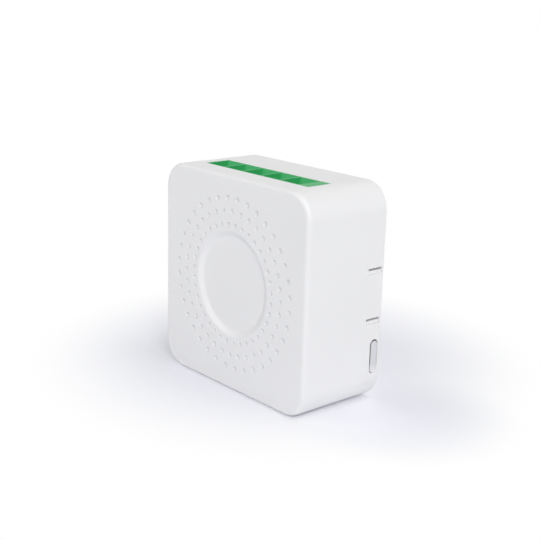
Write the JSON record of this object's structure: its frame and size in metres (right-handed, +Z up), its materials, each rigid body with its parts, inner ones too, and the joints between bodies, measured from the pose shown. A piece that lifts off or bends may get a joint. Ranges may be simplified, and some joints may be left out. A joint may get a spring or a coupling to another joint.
{
  "type": "smart relay module",
  "caption": "Square snap-together in-wall relay module with a dimpled dial on its front, screw terminals behind its top opening and a sprung push button in its side.",
  "frame": {"origin": "centre of the lower wall, on the surface the module stands on", "axes": "+X across the front to the right, +Y from the front face to the back cover, +Z up"},
  "size_m": [0.0392, 0.018, 0.0392],
  "materials": {
    "case_white": "satin moulded white plastic",
    "button_grey": "slightly translucent moulded plastic",
    "terminal_green": "moulded green plastic",
    "board_green": "glass-epoxy board with solder mask",
    "clamp_steel": "nickel-plated steel",
    "contact_brass": "tinned brass",
    "relay_dark": "dark moulded plastic",
    "bobbin_ivory": "ivory moulded plastic",
    "winding_copper": "enamelled copper wire",
    "relay_iron": "plated soft iron",
    "shield_tin": "tinned sheet",
    "chip_black": "moulded epoxy",
    "light_clear": "clear resin",
    "can_sleeve": "sleeved aluminium can",
    "film_yellow": "moulded film capacitor box",
    "varistor_blue": "dipped ceramic disc",
    "resistor_green": "lacquered resistor",
    "ferrite_grey": "ferrite"
  },
  "bodies": {
    "housing": {"front_shell": "case_white", "back_cover": "case_white", "main_board": "board_green", "terminal_block": "terminal_green", "terminal_contacts": "contact_brass", "relay_case": "relay_dark", "relay_base": "relay_dark", "relay_pins": "contact_brass", "relay_bobbin": "bobbin_ivory", "relay_winding": "winding_copper", "relay_core": "relay_iron", "relay_yoke": "relay_iron", "relay_fixed_contact": "contact_brass", "radio_board": "board_green", "radio_shield": "shield_tin", "radio_chip": "chip_black", "aerial_strip": "contact_brass", "tact_switch_body": "relay_dark", "status_light": "light_clear", "bulk_capacitor_1": "can_sleeve", "bulk_capacitor_2": "can_sleeve", "output_capacitor": "can_sleeve", "film_capacitor": "film_yellow", "varistor": "varistor_blue", "fusible_resistor": "resistor_green", "inductor_core": "ferrite_grey", "inductor_winding": "winding_copper", "bridge_rectifier": "chip_black", "supply_chip": "chip_black", "relay_driver": "chip_black", "flyback_diode": "chip_black"},
    "button": {"button_cap": "button_grey", "tact_switch_plunger": "bobbin_ivory"},
    "armature": {"relay_armature": "relay_iron", "relay_contact_spring": "contact_brass"},
    "screw_1": {"terminal_screw_1": "clamp_steel"},
    "screw_2": {"terminal_screw_2": "clamp_steel"},
    "screw_3": {"terminal_screw_3": "clamp_steel"},
    "screw_4": {"terminal_screw_4": "clamp_steel"},
    "screw_5": {"terminal_screw_5": "clamp_steel"},
    "cage_1": {"clamp_cage_1": "clamp_steel"},
    "cage_2": {"clamp_cage_2": "clamp_steel"},
    "cage_3": {"clamp_cage_3": "clamp_steel"},
    "cage_4": {"clamp_cage_4": "clamp_steel"},
    "cage_5": {"clamp_cage_5": "clamp_steel"}
  },
  "joints": [
    {"name": "button_press", "type": "slide", "parent": "housing", "child": "button", "axis": [-1, 0, 0], "range_m": [0, 0.0003], "stiffness_N_per_m": 3000},
    {"name": "armature_pull", "type": "hinge", "parent": "housing", "child": "armature", "pos_m": [-0.00074, 0.00543, 0.00828], "axis": [0, 0, -1], "range_deg": [0, 5], "stiffness_Nm_per_rad": 0.02},
    {"name": "screw_turn_1", "type": "hinge", "parent": "housing", "child": "screw_1", "pos_m": [-0.0107, 0, 0.03355], "axis": [0, -1, 0], "range_deg": [0, 1800]},
    {"name": "cage_lift_1", "type": "slide", "parent": "housing", "child": "cage_1", "axis": [0, 1, 0], "range_m": [0, 0.00225]},
    {"name": "screw_turn_2", "type": "hinge", "parent": "housing", "child": "screw_2", "pos_m": [-0.0057, 0, 0.03355], "axis": [0, -1, 0], "range_deg": [0, 1800]},
    {"name": "cage_lift_2", "type": "slide", "parent": "housing", "child": "cage_2", "axis": [0, 1, 0], "range_m": [0, 0.00225]},
    {"name": "screw_turn_3", "type": "hinge", "parent": "housing", "child": "screw_3", "pos_m": [-0.0007, 0, 0.03355], "axis": [0, -1, 0], "range_deg": [0, 1800]},
    {"name": "cage_lift_3", "type": "slide", "parent": "housing", "child": "cage_3", "axis": [0, 1, 0], "range_m": [0, 0.00225]},
    {"name": "screw_turn_4", "type": "hinge", "parent": "housing", "child": "screw_4", "pos_m": [0.0043, 0, 0.03355], "axis": [0, -1, 0], "range_deg": [0, 1800]},
    {"name": "cage_lift_4", "type": "slide", "parent": "housing", "child": "cage_4", "axis": [0, 1, 0], "range_m": [0, 0.00225]},
    {"name": "screw_turn_5", "type": "hinge", "parent": "housing", "child": "screw_5", "pos_m": [0.0093, 0, 0.03355], "axis": [0, -1, 0], "range_deg": [0, 1800]},
    {"name": "cage_lift_5", "type": "slide", "parent": "housing", "child": "cage_5", "axis": [0, 1, 0], "range_m": [0, 0.00225]}
  ],
  "couplings": [
    {"joint": "screw_turn_1", "follows": "cage_lift_1", "rad_per_m": 13963},
    {"joint": "screw_turn_2", "follows": "cage_lift_2", "rad_per_m": 13963},
    {"joint": "screw_turn_3", "follows": "cage_lift_3", "rad_per_m": 13963},
    {"joint": "screw_turn_4", "follows": "cage_lift_4", "rad_per_m": 13963},
    {"joint": "screw_turn_5", "follows": "cage_lift_5", "rad_per_m": 13963}
  ]
}
